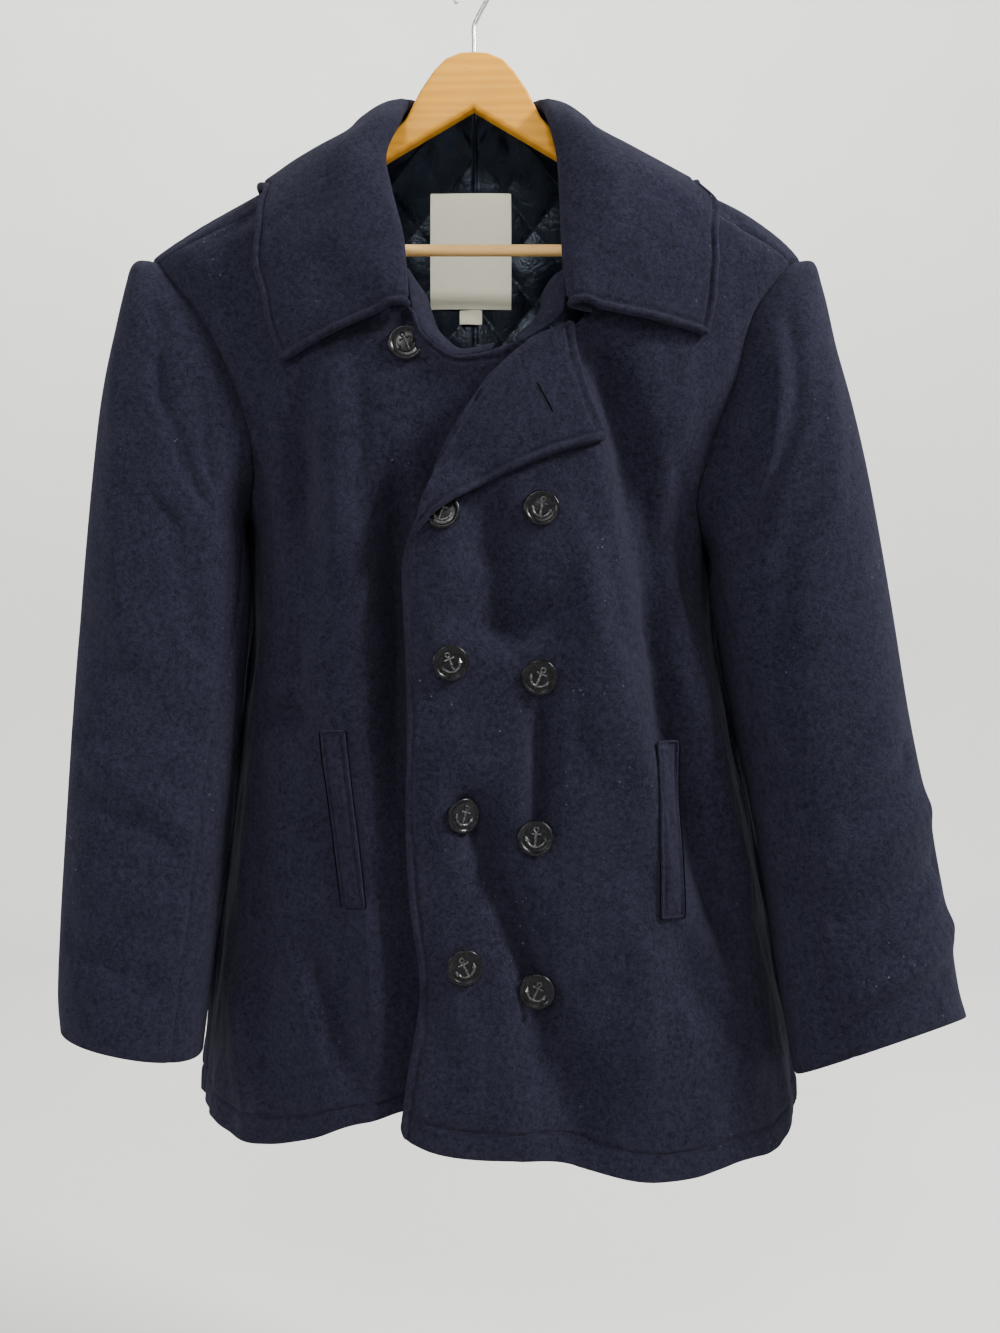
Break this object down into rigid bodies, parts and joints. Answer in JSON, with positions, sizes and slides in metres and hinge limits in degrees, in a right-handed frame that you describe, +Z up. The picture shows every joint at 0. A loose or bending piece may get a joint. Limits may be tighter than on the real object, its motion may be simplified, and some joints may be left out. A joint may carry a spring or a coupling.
{
  "type": "double-breasted pea coat on a hanger",
  "caption": "Double-breasted wool pea coat with wide collar, open lapel, welt pockets and dark buttons, hanging on a flat wooden hanger with a trouser bar.",
  "frame": {"origin": "inner top of the hanger's hook, where a rail or peg carries it", "axes": "+Z up, -Y the coat's front, +X towards the viewer's right when the front is seen"},
  "size_m": [0.7224, 0.1606, 0.9852],
  "materials": {
    "wool": "brushed",
    "satin": "satin",
    "woven": "woven",
    "button": "gloss",
    "pine": "varnished",
    "steel": "bright"
  },
  "bodies": {
    "root": {"front_left": "wool", "back_left": "wool", "upper_sleeve_left": "wool", "under_sleeve_left": "wool", "front_right": "wool", "back_right": "wool", "upper_sleeve_right": "wool", "under_sleeve_right": "wool", "collar": "wool", "lapel_right": "wool", "neck_facing": "wool", "pocket_welt_left": "wool", "pocket_welt_right": "wool", "back_lining": "satin", "neck_label": "woven", "size_tab": "woven", "button_1_left": "button", "button_1_right": "button", "button_2_left": "button", "button_2_right": "button", "button_3_left": "button", "button_3_right": "button", "button_4_left": "button", "button_4_right": "button", "button_throat": "button", "hanger_wood": "pine", "hanger_bar": "pine", "hanger_hook": "steel"}
  },
  "joints": []
}
